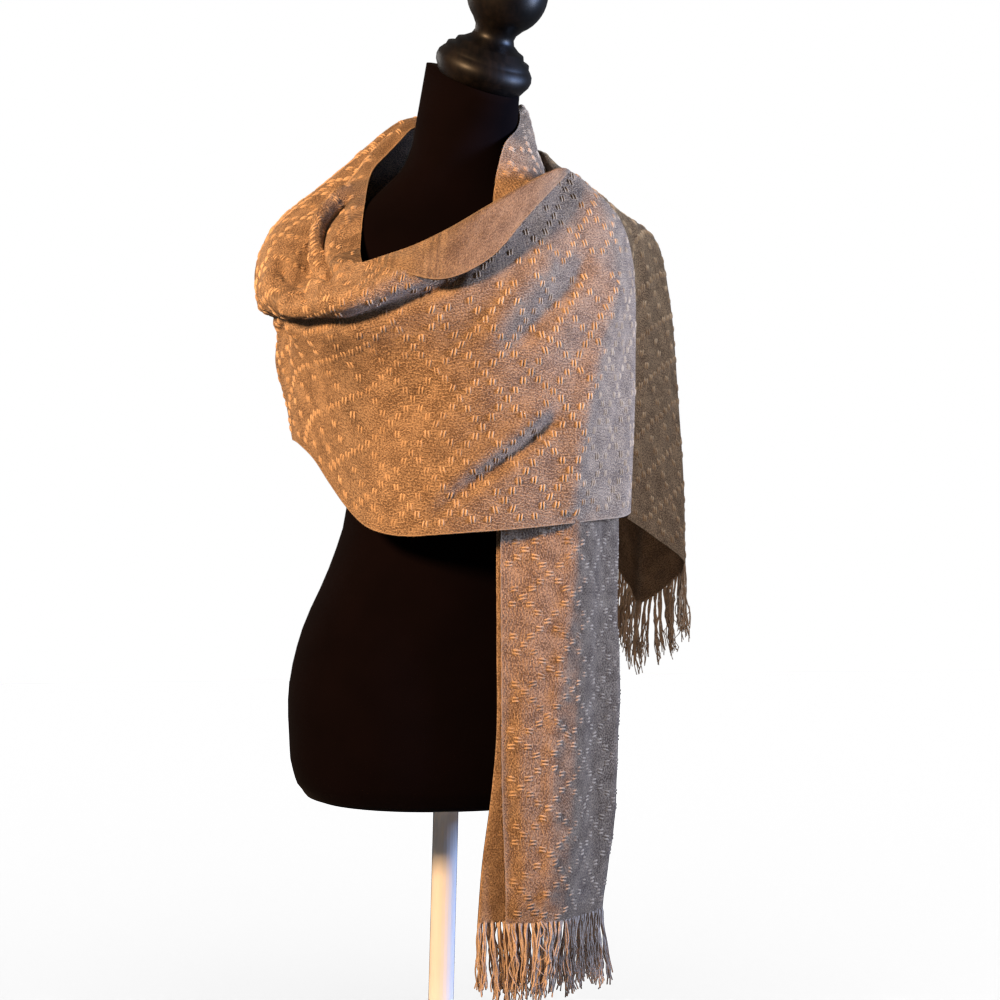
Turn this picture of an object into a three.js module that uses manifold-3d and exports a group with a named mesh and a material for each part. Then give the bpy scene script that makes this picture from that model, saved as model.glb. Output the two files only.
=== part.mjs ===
// A woven scarf wrapped round a limbless dress form on a pole stand.
// Millimetres, Z up, the form faces -Y, and the origin is the middle of the base's underside.
// Angles are in degrees about Z from the front, growing towards +X. A point is given by its
// angle, its reach out from the pole's line, and its height up from the floor.
import * as THREE from "three";
import * as BufferGeometryUtils from "three/addons/utils/BufferGeometryUtils.js";
import Module from "manifold-3d";

const wasm = await Module();
wasm.setup();

// Cloth
const CLOTH = 1.6;
const SEAM = 0.3;
const FRINGE_DROP = 74;
const STRAND = 3.0;
const STRIP = 5;
const HEM_GAP = 0.8;
const KNOT_PITCH = 6.2;

// Dress form, neck cap and stand
const FORM_BOTTOM = 271;
const NECK_TOP = { x: 4, y: -26, up: 984, forward: 26, sideways: 7 };
const POLE_RADIUS = 12.5;
const FLANGE = { radius: 30, thick: 6 };
const BASE = { radius: 165, thick: 20, edge: 4 };

const CREAM = { color: 0xb4916e, roughness: 0.95, metalness: 0 };
const VELVET = { color: 0x0b0a0b, roughness: 1, metalness: 0 };
const WOOD = { color: 0x17120f, roughness: 0.45, metalness: 0 };
const PAINTED = { color: 0xdcdad6, roughness: 0.45, metalness: 0 };

const group = new THREE.Group();

// Curves and walls

// Slope of a smooth curve at knot k, from its neighbours on both sides.
function slope(knots, values, k) {
  const last = knots.length - 1;
  const before = k > 0 ? (values[k] - values[k - 1]) / (knots[k] - knots[k - 1]) : null;
  const after = k < last ? (values[k + 1] - values[k]) / (knots[k + 1] - knots[k]) : null;
  if (before === null) return after;
  if (after === null) return before;
  const back = knots[k] - knots[k - 1];
  const ahead = knots[k + 1] - knots[k];
  return (before * ahead + after * back) / (back + ahead);
}

// Cubic curve through the values at their knots.
function smooth(knots, values, at) {
  let k = 0;
  while (k < knots.length - 2 && at > knots[k + 1]) k += 1;
  const step = knots[k + 1] - knots[k];
  const t = (at - knots[k]) / step;
  const m0 = slope(knots, values, k) * step;
  const m1 = slope(knots, values, k + 1) * step;
  const t2 = t * t;
  const t3 = t2 * t;
  return (
    (2 * t3 - 3 * t2 + 1) * values[k] + (t3 - 2 * t2 + t) * m0 +
    (3 * t2 - 2 * t3) * values[k + 1] + (t3 - t2) * m1
  );
}

function place(angle, out, up) {
  const a = THREE.MathUtils.degToRad(angle);
  return new THREE.Vector3(out * Math.sin(a), -out * Math.cos(a), up);
}

// Points of one section: a smooth curve through its rail points, cut into cells[k] steps
// between rail k and the next.
function section(points, cells) {
  const knots = [0];
  for (let k = 1; k < points.length; k += 1) {
    knots.push(knots[k - 1] + Math.sqrt(points[k].distanceTo(points[k - 1])));
  }
  const axes = ["x", "y", "z"].map((axis) => points.map((p) => p[axis]));
  const line = [points[0].clone()];
  cells.forEach((count, k) => {
    for (let i = 1; i <= count; i += 1) {
      const at = knots[k] + ((knots[k + 1] - knots[k]) * i) / count;
      line.push(new THREE.Vector3(...axes.map((values) => smooth(knots, values, at))));
    }
  });
  return line;
}

// Lines of a sheet between the rows of a table. Each row is a list of numbers, and every
// column runs smoothly from row to row. steps[k] lines are made between row k and the next.
function loft(rows, steps, toPoints, cells) {
  const knots = [0];
  for (let k = 1; k < rows.length; k += 1) {
    knots.push(knots[k - 1] + Math.max(Math.abs(rows[k][0] - rows[k - 1][0]), 2));
  }
  const columns = rows[0].map((_, c) => rows.map((row) => row[c]));
  const lines = [];
  for (let k = 0; k < rows.length - 1; k += 1) {
    for (let i = k === 0 ? 0 : 1; i <= steps[k]; i += 1) {
      const at = knots[k] + ((knots[k + 1] - knots[k]) * i) / steps[k];
      lines.push(section(toPoints(columns.map((values) => smooth(knots, values, at))), cells));
    }
  }
  return lines;
}

// Normals of a sheet's points, from the steps to the neighbours on both sides.
function sheetNormals(lines) {
  const last = [lines.length - 1, lines[0].length - 1];
  return lines.map((line, i) =>
    line.map((_, j) => {
      const along = lines[Math.min(i + 1, last[0])][j].clone();
      along.sub(lines[Math.max(i - 1, 0)][j]);
      const across = line[Math.min(j + 1, last[1])].clone().sub(line[Math.max(j - 1, 0)]);
      return along.cross(across).normalize();
    })
  );
}

// A closed wall on part of a sheet, CLOTH thick. An edge that meets the next stretch is
// drawn in by half a seam.
function wall(lines, from, to, first, last) {
  const normals = sheetNormals(lines);
  const rows = to - from + 1;
  const cols = last - first + 1;
  const positions = [];
  const inset = (i, j) => {
    const p = lines[i][j].clone();
    const pull = (q) => p.add(q.clone().sub(lines[i][j]).setLength(SEAM / 2));
    if (i === from && i > 0) pull(lines[i + 1][j]);
    if (i === to && i < lines.length - 1) pull(lines[i - 1][j]);
    if (j === first && j > 0) pull(lines[i][j + 1]);
    if (j === last && j < lines[0].length - 1) pull(lines[i][j - 1]);
    return p;
  };
  for (const side of [0.5, -0.5]) {
    for (let i = from; i <= to; i += 1) {
      for (let j = first; j <= last; j += 1) {
        positions.push(...inset(i, j).addScaledVector(normals[i][j], side * CLOTH));
      }
    }
  }
  const face = rows * cols;
  const at = (i, j, side) => side * face + i * cols + j;
  const index = [];
  const quad = (a, b, c, d) => index.push(a, b, c, a, c, d);
  for (let i = 0; i < rows - 1; i += 1) {
    for (let j = 0; j < cols - 1; j += 1) {
      quad(at(i, j, 0), at(i + 1, j, 0), at(i + 1, j + 1, 0), at(i, j + 1, 0));
      quad(at(i, j, 1), at(i, j + 1, 1), at(i + 1, j + 1, 1), at(i + 1, j, 1));
    }
  }
  for (let i = 0; i < rows - 1; i += 1) {
    quad(at(i, 0, 0), at(i, 0, 1), at(i + 1, 0, 1), at(i + 1, 0, 0));
    quad(at(i, cols - 1, 0), at(i + 1, cols - 1, 0), at(i + 1, cols - 1, 1), at(i, cols - 1, 1));
  }
  for (let j = 0; j < cols - 1; j += 1) {
    quad(at(0, j, 0), at(0, j + 1, 0), at(0, j + 1, 1), at(0, j, 1));
    quad(at(rows - 1, j, 0), at(rows - 1, j, 1), at(rows - 1, j + 1, 1), at(rows - 1, j + 1, 0));
  }
  const geometry = new THREE.BufferGeometry();
  geometry.setAttribute("position", new THREE.Float32BufferAttribute(positions, 3));
  geometry.setIndex(index);
  return geometry;
}

function add(name, geometry, look) {
  const mesh = new THREE.Mesh(geometry, new THREE.MeshStandardMaterial(look));
  mesh.name = name;
  group.add(mesh);
  return mesh;
}

// Dress form

// Columns: height up, half width, depth in front, depth behind.
const FORM = [
  [271, 114, 74, 84],
  [274, 132, 92, 100],
  [283, 146, 104, 112],
  [300, 155, 110, 118],
  [335, 160, 113, 122],
  [388, 161, 112, 124],
  [440, 150, 106, 114],
  [500, 125, 97, 97],
  [560, 109, 90, 84],
  [610, 116, 96, 84],
  [660, 132, 112, 90],
  [700, 147, 125, 96],
  [745, 152, 112, 98],
  [785, 156, 90, 94],
  [808, 155, 76, 86],
  [822, 152, 69, 79],
  [836, 137, 63, 72],
  [850, 116, 58, 66],
  [866, 94, 54, 61],
  [882, 77, 52, 58],
  [898, 62, 52, 54],
  [915, 54, 54, 49],
  [935, 51, 58, 43],
  [955, 49, 65, 33],
  [984, 46, 72, 20],
];
const FORM_SIDES = 36;
const FORM_ROUND = 2.2;
const TILT_FROM = 915;

// Half an egg in front and half behind, rounder at the corners than an ellipse.
function formPoint(row, angle) {
  const [up, wide, front, back] = row;
  const a = THREE.MathUtils.degToRad(angle);
  const x = Math.sin(a) / wide;
  const y = Math.cos(a) / (Math.cos(a) > 0 ? front : back);
  const power = up > TILT_FROM ? 2 : FORM_ROUND;
  const out = (Math.abs(x) ** power + Math.abs(y) ** power) ** (-1 / power);
  return place(angle, out, up);
}

// The neck leans, and its rings tilt more and more towards the sloping cut at the top.
function neckTilt(point) {
  const part = THREE.MathUtils.clamp((point.z - TILT_FROM) / (NECK_TOP.up - TILT_FROM), 0, 1);
  const rise = Math.tan(THREE.MathUtils.degToRad(NECK_TOP.forward)) * (point.y - NECK_TOP.y);
  const lean = Math.tan(THREE.MathUtils.degToRad(NECK_TOP.sideways)) * point.x;
  return point.set(point.x + part * NECK_TOP.x, point.y, point.z + part * (rise - lean));
}

function formBody() {
  const positions = [0, 0, FORM_BOTTOM];
  FORM.forEach((row) => {
    for (let i = 0; i < FORM_SIDES; i += 1) {
      positions.push(...neckTilt(formPoint(row, (360 * i) / FORM_SIDES)));
    }
  });
  positions.push(NECK_TOP.x, NECK_TOP.y, NECK_TOP.up);
  const index = [];
  const at = (k, i) => 1 + k * FORM_SIDES + (i % FORM_SIDES);
  const top = 1 + FORM.length * FORM_SIDES;
  for (let i = 0; i < FORM_SIDES; i += 1) {
    index.push(0, at(0, i + 1), at(0, i));
    index.push(top, at(FORM.length - 1, i), at(FORM.length - 1, i + 1));
    for (let k = 0; k < FORM.length - 1; k += 1) {
      index.push(at(k, i), at(k, i + 1), at(k + 1, i + 1));
      index.push(at(k, i), at(k + 1, i + 1), at(k + 1, i));
    }
  }
  const geometry = new THREE.BufferGeometry();
  geometry.setAttribute("position", new THREE.Float32BufferAttribute(positions, 3));
  geometry.setIndex(index);
  return geometry;
}

add("form_body", formBody(), VELVET);

// Neck cap, pole and base

// A turned profile stood on Z. Columns: radius, height.
function turned(profile, sides) {
  const line = profile.map(([radius, up]) => new THREE.Vector2(radius, up));
  const lathe = new THREE.LatheGeometry(line, sides);
  lathe.rotateX(Math.PI / 2);
  return lathe;
}

const CAP_FOOT = [
  [0, 0], [42, 0], [45, 6], [48, 10], [49, 15], [48, 20], [45, 24], [43, 26],
  [42, 30], [36, 32], [34, 37], [29, 39], [22, 44], [20, 49], [21, 54],
];
const BALL = { radius: 40, centre: 91, rings: 9 };
const capProfile = [...CAP_FOOT];
for (let i = 1; i <= BALL.rings; i += 1) {
  const start = Math.asin(21 / BALL.radius);
  const a = start + ((Math.PI - start) * i) / BALL.rings;
  const radius = i === BALL.rings ? 0 : BALL.radius * Math.sin(a);
  capProfile.push([radius, BALL.centre - BALL.radius * Math.cos(a)]);
}
const capAxis = new THREE.Vector3(
  Math.tan(THREE.MathUtils.degToRad(NECK_TOP.sideways)),
  -Math.tan(THREE.MathUtils.degToRad(NECK_TOP.forward)),
  1
).normalize();
const cap = add("neck_cap", turned(capProfile, 24), WOOD);
cap.quaternion.setFromUnitVectors(new THREE.Vector3(0, 0, 1), capAxis);
cap.position.set(NECK_TOP.x, NECK_TOP.y, NECK_TOP.up).addScaledVector(capAxis, SEAM);

const flangeTop = FORM_BOTTOM - SEAM;
add("stand_flange", turned([
  [0, flangeTop - FLANGE.thick], [FLANGE.radius, flangeTop - FLANGE.thick],
  [FLANGE.radius, flangeTop], [0, flangeTop],
], 32), PAINTED);
const poleTop = flangeTop - FLANGE.thick - SEAM;
add("stand_pole", turned([
  [0, BASE.thick + SEAM], [POLE_RADIUS, BASE.thick + SEAM], [POLE_RADIUS, poleTop], [0, poleTop],
], 24), PAINTED);
add("stand_base", turned([
  [0, 0], [BASE.radius, 0], [BASE.radius, BASE.thick - BASE.edge],
  [BASE.radius - BASE.edge, BASE.thick], [0, BASE.thick],
], 40), PAINTED);

// The wrap: back, right shoulder, front and turned collar

// One row for each section, going from the left of the back round the right shoulder to
// the left of the front. Columns: angle, then reach and height of the selvedge, the inner
// ridge, the hollow, the crest, the roll, the tuck under it, the chest and the hem.
const WRAP = [
  [105, 60, 968, 67, 975, 74, 972, 84, 953, 128, 876, 161, 802, 158, 710, 150, 610],
  [130, 63, 962, 71, 971, 78, 969, 85, 955, 118, 886, 148, 806, 146, 710, 138, 598],
  [155, 65, 956, 72, 966, 78, 966, 85, 954, 106, 886, 124, 806, 126, 710, 122, 596],
  [180, 65, 953, 72, 964, 78, 965, 85, 955, 103, 886, 117, 806, 119, 710, 118, 600],
  [195, 65, 953, 71, 962, 76, 963, 84, 962, 108, 890, 126, 806, 128, 712, 124, 606],
  [210, 66, 947, 74, 954, 79, 950, 87, 954, 128, 882, 152, 804, 148, 715, 138, 616],
  [225, 69, 932, 80, 939, 87, 928, 98, 932, 154, 864, 176, 794, 167, 715, 151, 624],
  [240, 79, 913, 91, 918, 104, 899, 127, 894, 172, 846, 187, 778, 173, 708, 158, 630],
  [255, 89, 897, 104, 894, 122, 868, 165, 855, 198, 811, 199, 758, 178, 703, 162, 633],
  [270, 101, 876, 132, 862, 150, 838, 199, 812, 212, 778, 201, 742, 180, 698, 163, 630],
  [280, 113, 853, 160, 836, 168, 802, 206, 786, 217, 756, 205, 734, 178, 692, 160, 607],
  [288, 127, 832, 176, 800, 182, 772, 205, 770, 218, 744, 204, 729, 176, 690, 158, 584],
  [296, 146, 800, 178, 790, 184, 776, 198, 772, 217, 744, 202, 728, 172, 688, 156, 562],
  [304, 163, 784, 175, 787, 182, 784, 189, 777, 211, 746, 198, 731, 163, 688, 155, 545],
  [312, 176, 783, 176, 790, 174, 793, 172, 790, 199, 755, 188, 739, 158, 688, 155, 538],
  [321, 181, 776, 173, 794, 163, 804, 157, 801, 181, 768, 177, 750, 155, 688, 156, 536],
  [330, 180, 771, 170, 797, 158, 817, 151, 815, 162, 782, 168, 756, 154, 688, 157, 538],
  [345, 170, 792, 159, 820, 146, 843, 139, 839, 148, 806, 159, 774, 157, 690, 158, 542],
  [360, 154, 837, 147, 852, 136, 866, 128, 861, 137, 826, 154, 786, 163, 692, 161, 546],
  [375, 141, 870, 137, 878, 130, 884, 123, 877, 134, 838, 155, 790, 169, 694, 167, 551],
  [387, 131, 887, 128, 891, 123, 892, 120, 886, 137, 846, 159, 798, 174, 697, 173, 555],
  [400, 113, 888, 118, 891, 125, 889, 133, 880, 149, 858, 168, 806, 178, 699, 178, 558],
  [415, 95, 899, 105, 896, 119, 888, 138, 874, 158, 853, 172, 814, 178, 700, 177, 563],
];
const WRAP_STEPS = [2, 2, 2, 1, 2, 2, 2, 3, 3, 2, 2, 2, 2, 2, 2, 2, 2, 2, 2, 2, 2, 2];
const WRAP_CELLS = [2, 2, 3, 3, 3, 5, 6];
const TUCK = 13;
const BACK_END = 9;
const SHOULDER_END = 23;

// Soft troughs in the front. Columns: angle and height of one end, of the other end,
// depth, and half width.
const TROUGHS = [
  [416, 846, 372, 768, 7, 20],
  [384, 672, 332, 578, 6, 19],
  [404, 742, 345, 662, 4, 18],
];

function dent(angle, up, troughs) {
  const flat = (a, z) => new THREE.Vector2(THREE.MathUtils.degToRad(a) * 160, z);
  let depth = 0;
  for (const [angle0, up0, angle1, up1, deep, half] of troughs) {
    const start = flat(angle0, up0);
    const line = flat(angle1, up1).sub(start);
    const to = flat(angle, up).sub(start);
    const t = THREE.MathUtils.clamp(to.dot(line) / line.lengthSq(), 0, 1);
    const off = to.sub(line.multiplyScalar(t)).length() / half;
    depth += deep * Math.exp(-off * off) * Math.min(1, 4 * (1 - t));
  }
  return depth;
}

function wrapPoints([angle, ...pairs]) {
  const points = [];
  for (let k = 0; k < pairs.length; k += 2) points.push(place(angle, pairs[k], pairs[k + 1]));
  return points;
}

function pressed(lines, firstLine, firstCell) {
  lines.slice(firstLine).forEach((line) => {
    line.slice(firstCell).forEach((p) => {
      const angle = THREE.MathUtils.radToDeg(Math.atan2(p.x, -p.y)) + 360;
      const out = Math.hypot(p.x, p.y);
      const reach = (out - dent(angle, p.z, TROUGHS)) / out;
      p.set(p.x * reach, p.y * reach, p.z);
    });
  });
  return lines;
}

const wrap = pressed(loft(WRAP, WRAP_STEPS, wrapPoints, WRAP_CELLS), SHOULDER_END, TUCK);
const wrapHem = wrap[0].length - 1;
add("scarf_back", wall(wrap, 0, BACK_END, 0, wrapHem), CREAM);
add("scarf_shoulder", wall(wrap, BACK_END, SHOULDER_END, 0, wrapHem), CREAM);
add("scarf_collar", wall(wrap, SHOULDER_END, wrap.length - 1, 0, TUCK), CREAM);
add("scarf_front", wall(wrap, SHOULDER_END, wrap.length - 1, TUCK, wrapHem), CREAM);

// The drop over the left shoulder

// Columns: angle, then reach and height of the inner edge, the bend beside it, the
// shoulder's slope, its brow, the shoulder point, the upper side, the lower side and the
// bottom edge.
const DROP = [
  [53, 110, 882, 108, 884, 126, 874, 146, 856, 160, 830, 171, 780, 175.8, 660, 174.8, 558],
  [60, 105, 887, 103, 890, 126, 880, 149, 862, 165, 838, 173, 780, 175.5, 660, 173.6, 558],
  [67, 101, 890, 100, 894, 126, 885, 152, 867, 170, 846, 178, 780, 176, 660, 172, 558],
  [75, 98, 895, 98, 902, 130, 890, 163, 866, 189, 848, 204, 780, 208, 660, 207, 538],
  [81, 96, 899, 97, 908, 133, 893, 170, 867, 206, 843, 228, 784, 241, 640, 248, 512],
  [87, 95, 904, 97, 914, 133, 895, 170, 866, 204, 840, 227, 782, 240, 640, 246, 492],
  [94, 95, 914, 97, 924, 131, 896, 166, 864, 196, 836, 217, 776, 227, 640, 225, 468],
  [100, 97, 920, 99, 930, 130, 896, 162, 862, 192, 830, 213, 772, 225, 640, 227, 484],
  [107, 101, 934, 102, 934, 129, 896, 158, 858, 182, 820, 196, 765, 204, 650, 208, 530],
  [117, 100, 937, 101, 936, 127, 896, 150, 850, 168, 806, 176, 755, 180, 660, 184, 556],
  [130, 98, 939, 99, 938, 122, 896, 142, 842, 156, 796, 160, 745, 160, 660, 164, 560],
];
const DROP_STEPS = [2, 2, 2, 2, 2, 2, 2, 2, 2, 2];
const DROP_CELLS = [1, 2, 2, 2, 3, 4, 4];
const drop = loft(DROP, DROP_STEPS, wrapPoints, DROP_CELLS);
add("scarf_drop", wall(drop, 0, drop.length - 1, 0, drop[0].length - 1), CREAM);

// Neck band: the tail's stretch over the left shoulder

// Columns: angle, reach and height of the inner selvedge, the ridge, the slope and the
// outer edge.
const BAND = [
  [0, -9, 102, 812, 6, 108, 815, 22, 110, 817, 40, 114, 818],
  [34, -5, 90, 848, 10, 100, 850, 27, 104, 846, 45, 108, 840],
  [70, 3, 75, 893, 24, 86, 884, 42, 94, 868, 56, 104, 854],
  [98, 16, 62.2, 919, 42, 75, 903, 56, 88, 884, 68, 108, 862],
  [130, 38, 59, 938, 66, 69, 932, 75, 86, 896, 80, 114, 868],
  [165, 70, 55, 962, 88, 68, 966, 91, 84, 922, 93, 116, 876],
  [185, 90, 56, 968, 98, 70, 974, 99, 86, 928, 99, 118, 878],
];
const BAND_STEPS = [2, 3, 3, 3, 3, 2];
const BAND_CELLS = [3, 3, 3];

function bandPoints([, ...triples]) {
  const points = [];
  for (let k = 0; k < triples.length; k += 3) points.push(place(...triples.slice(k, k + 3)));
  return points;
}

const band = loft(BAND, BAND_STEPS, bandPoints, BAND_CELLS);
add("scarf_neck_band", wall(band, 0, band.length - 1, 0, band[0].length - 1), CREAM);

// Tail in three layers

// Columns: height up, front plane's y, then x of the selvedge, of the crease, of the right
// fold and of the left fold behind, and how far the right fold lies back.
const TAIL = [
  [808, -108, -6, 44, 84, -2, 14],
  [785, -119, -9, 50, 96, -5, 20],
  [745, -132, -13, 58, 112, -9, 28],
  [700, -138, -15, 62, 122, -11, 34],
  [600, -143, -15, 63, 127, -11, 36],
  [540, -143, -15, 64, 129, -11, 36],
  [440, -143, -12, 64, 129, -8, 36],
  [340, -143, -9, 63, 128, -6, 36],
  [290, -143, -7, 61, 126, -10, 35],
  [230, -143, -3, 57, 123, -17, 34],
  [177, -143, 0, 54, 120, -20, 33],
];
const TAIL_STEPS = [1, 1, 1, 2, 2, 2, 2, 1, 1, 1];
const TAIL_CELLS = [3, 4, 4, 3, 2, 2, 4, 2, 1, 1, 3];
const LAYER = 5;

function tailPoints([up, y, selvedge, crease, right, left, back]) {
  const behind = 0.5 * (selvedge + crease);
  const plan = [
    [selvedge, y],
    [behind, y - 2],
    [crease, y - 4],
    [0.5 * (crease + right), y + 0.35 * back],
    [right, y + back],
    [right - 3, y + back + LAYER],
    [0.5 * (crease + right), y + 0.5 * back + LAYER],
    [behind, y + 1.4 * LAYER],
    [left, y + 1.2 * LAYER],
    [left - 3, y + 1.6 * LAYER],
    [left, y + 2.1 * LAYER],
    [crease - 22, y + 2.3 * LAYER],
  ];
  return plan.map(([px, py]) => new THREE.Vector3(px, py, up));
}

const tail = loft(TAIL, TAIL_STEPS, tailPoints, TAIL_CELLS);
add("scarf_tail", wall(tail, 0, tail.length - 1, 0, tail[0].length - 1), CREAM);

// Fringes

function toSolid(geometry) {
  const plain = new THREE.BufferGeometry();
  plain.setAttribute("position", geometry.getAttribute("position").clone());
  plain.setIndex(geometry.getIndex());
  const merged = BufferGeometryUtils.mergeVertices(plain, 1e-4);
  return new wasm.Manifold(new wasm.Mesh({
    numProp: 3,
    vertProperties: new Float32Array(merged.getAttribute("position").array),
    triVerts: new Uint32Array(merged.getIndex().array),
  }));
}

function fromSolid(solid) {
  const mesh = solid.getMesh();
  const geometry = new THREE.BufferGeometry();
  geometry.setAttribute("position", new THREE.BufferAttribute(mesh.vertProperties, 3));
  geometry.setIndex(new THREE.BufferAttribute(mesh.triVerts, 1));
  return geometry;
}

// Loose ends sway together, so that neighbours stay apart: a wave over the whole fringe
// that grows down the strands.
function sway(root, down) {
  const part = down / FRINGE_DROP;
  return new THREE.Vector3(
    4 * part * Math.sin(root.x / 23 + 2.2 * part + 0.7),
    -3 * part * Math.sin(root.x / 19 + 1.7 * part),
    -down
  );
}

// One lock of loose threads with three sides, from inside the strip to its end.
function strand(root, length) {
  const positions = [];
  const index = [];
  const levels = 3;
  for (let k = 0; k <= levels; k += 1) {
    const centre = root.clone().add(sway(root, (length * k) / levels));
    for (let i = 0; i < 3; i += 1) {
      const a = (2 * Math.PI * i) / 3 + 0.5 * k;
      const r = (STRAND / 2) * (1 - 0.12 * k);
      positions.push(centre.x + r * Math.cos(a), centre.y + r * Math.sin(a), centre.z);
    }
  }
  index.push(0, 1, 2, 3 * levels, 3 * levels + 2, 3 * levels + 1);
  for (let k = 0; k < levels; k += 1) {
    for (let i = 0; i < 3; i += 1) {
      const a = 3 * k + i;
      const b = 3 * k + ((i + 1) % 3);
      index.push(a, a + 3, b + 3, a, b + 3, b);
    }
  }
  const geometry = new THREE.BufferGeometry();
  geometry.setAttribute("position", new THREE.Float32BufferAttribute(positions, 3));
  geometry.setIndex(index);
  return geometry;
}

// A narrow strip under a hem with a lock at every knot. The locks' lengths vary in turn.
const LOCK_LENGTHS = [1, 0.9, 0.97, 0.84, 0.94, 0.88, 1.02];

function fringe(hem) {
  const lowered = (drop) => hem.map((p) => p.clone().setZ(p.z - drop));
  let solid = toSolid(wall([lowered(HEM_GAP), lowered(HEM_GAP + STRIP)], 0, 1, 0, hem.length - 1));
  const ends = [0];
  hem.slice(1).forEach((p, k) => ends.push(ends[k] + p.distanceTo(hem[k])));
  const total = ends[ends.length - 1];
  const count = Math.floor((total - STRAND) / KNOT_PITCH) + 1;
  const first = (total - (count - 1) * KNOT_PITCH) / 2;
  for (let n = 0; n < count; n += 1) {
    const at = first + n * KNOT_PITCH;
    let k = 0;
    while (ends[k + 1] < at) k += 1;
    const root = hem[k].clone().lerp(hem[k + 1], (at - ends[k]) / (ends[k + 1] - ends[k]));
    root.z -= HEM_GAP + STRIP - 2;
    const length = FRINGE_DROP * LOCK_LENGTHS[n % LOCK_LENGTHS.length];
    solid = solid.add(toSolid(strand(root, length)));
  }
  return fromSolid(solid);
}

const CORNER = 8;
add("fringe_tail", fringe(tail[tail.length - 1]), CREAM);
add("fringe_drop", fringe(drop.slice(CORNER).map((line) => line[line.length - 1])), CREAM);

export default group;
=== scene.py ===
"""The looks of a woven scarf wrapped round a limbless dress form on a pole stand."""
import math

import bpy
import numpy as np
from mathutils import Matrix, Vector


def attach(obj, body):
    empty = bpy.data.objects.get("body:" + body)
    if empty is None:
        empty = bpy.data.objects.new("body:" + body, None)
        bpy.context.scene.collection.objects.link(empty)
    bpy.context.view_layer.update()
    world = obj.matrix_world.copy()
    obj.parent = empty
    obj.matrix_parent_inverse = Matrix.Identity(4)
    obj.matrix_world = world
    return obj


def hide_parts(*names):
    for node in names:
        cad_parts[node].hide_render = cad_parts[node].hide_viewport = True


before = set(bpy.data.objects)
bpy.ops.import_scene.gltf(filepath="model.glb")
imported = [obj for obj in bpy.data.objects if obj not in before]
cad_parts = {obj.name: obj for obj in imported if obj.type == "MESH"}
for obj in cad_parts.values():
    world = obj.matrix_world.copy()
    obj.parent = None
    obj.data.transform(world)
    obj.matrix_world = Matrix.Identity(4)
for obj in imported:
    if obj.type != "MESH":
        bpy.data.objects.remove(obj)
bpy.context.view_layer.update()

MM = 0.001

# Camera
# It stands 2 m from the pole's line, level, 25 degrees round to the form's right, and is
# rolled 1.5 degrees, so the pole leans to the right in the picture.
turn, roll = math.radians(25), math.radians(1.5)
sight = Vector((math.sin(turn), math.cos(turn), 0))
level = Vector((math.cos(turn), -math.sin(turn), 0))
aside, eye_height, distance = 0.046, 0.572, 2.0
target = level * aside + Vector((0, 0, eye_height))
right = level * math.cos(roll) + Vector((0, 0, math.sin(roll)))
upward = Vector((0, 0, math.cos(roll))) - level * math.sin(roll)
camera = bpy.data.objects.new("camera", bpy.data.cameras.new("camera"))
camera.data.lens = 72
camera.data.sensor_width = 36
stand_point = target - sight * distance
camera.matrix_world = Matrix((
    (right.x, upward.x, -sight.x, stand_point.x),
    (right.y, upward.y, -sight.y, stand_point.y),
    (right.z, upward.z, -sight.z, stand_point.z),
    (0, 0, 0, 1),
))
bpy.context.scene.collection.objects.link(camera)
bpy.context.scene.camera = camera


# Light
# A warm lamp from the front left, cool window light from the right, its near pane beside
# the shoulder, a weak light from behind, two more for the shaded drop, and a pale room.
def lamp(name, place, aim, size, power, colour):
    """A square area lamp size metres wide at place, which points to aim."""
    light = bpy.data.lights.new(name, "AREA")
    light.size = size
    light.energy = power
    light.color = colour
    holder = bpy.data.objects.new(name, light)
    holder.location = place
    holder.rotation_euler = (Vector(aim) - Vector(place)).to_track_quat("-Z", "Y").to_euler()
    bpy.context.scene.collection.objects.link(holder)
    return holder


warm = lamp("warm_lamp", (-1.95, -1.08, 1.5), (0, 0, 0.62), 0.4, 119, (1.0, 0.61, 0.31))
window = lamp("window", (1.7, -1.1, 1.0), (0.05, 0, 0.62), 0.7, 74, (0.36, 0.54, 1.0))
pane = lamp(
    "near_pane", (0.75, -0.55, 0.78), (0.15, -0.1, 0.7), 0.25, 6.5, (0.66, 0.76, 1.0),
)
rim = lamp("rim", (-0.7, 1.9, 1.5), (0, 0, 0.8), 0.9, 6, (1.0, 0.95, 0.9))
sky = lamp("skylight", (0.55, -0.42, 1.5), (0.24, 0, 0.6), 0.25, 8.5, (0.66, 0.8, 1.0))
glow = lamp("low_glow", (-0.2, -1.1, 0.3), (0.24, 0.03, 0.5), 0.3, 2.2, (1.0, 0.75, 0.55))
world = bpy.data.worlds.new("room")
world.use_nodes = True
room = world.node_tree
ray = room.nodes.new("ShaderNodeLightPath").outputs["Is Camera Ray"]
plain = room.nodes.new("ShaderNodeMix")
plain.data_type = "FLOAT"
# The camera alone sees the room full white; its light on the object is weaker.
room_light, seen_white = 0.13, 1.0
plain.inputs[2].default_value = room_light
plain.inputs[3].default_value = seen_white
room.links.new(ray, plain.inputs[0])
room.links.new(plain.outputs[0], room.nodes["Background"].inputs["Strength"])
room.nodes["Background"].inputs["Color"].default_value = (1.0, 1.0, 1.0, 1)
bpy.context.scene.world = world
bpy.context.scene.view_settings.view_transform = "Standard"


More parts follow.
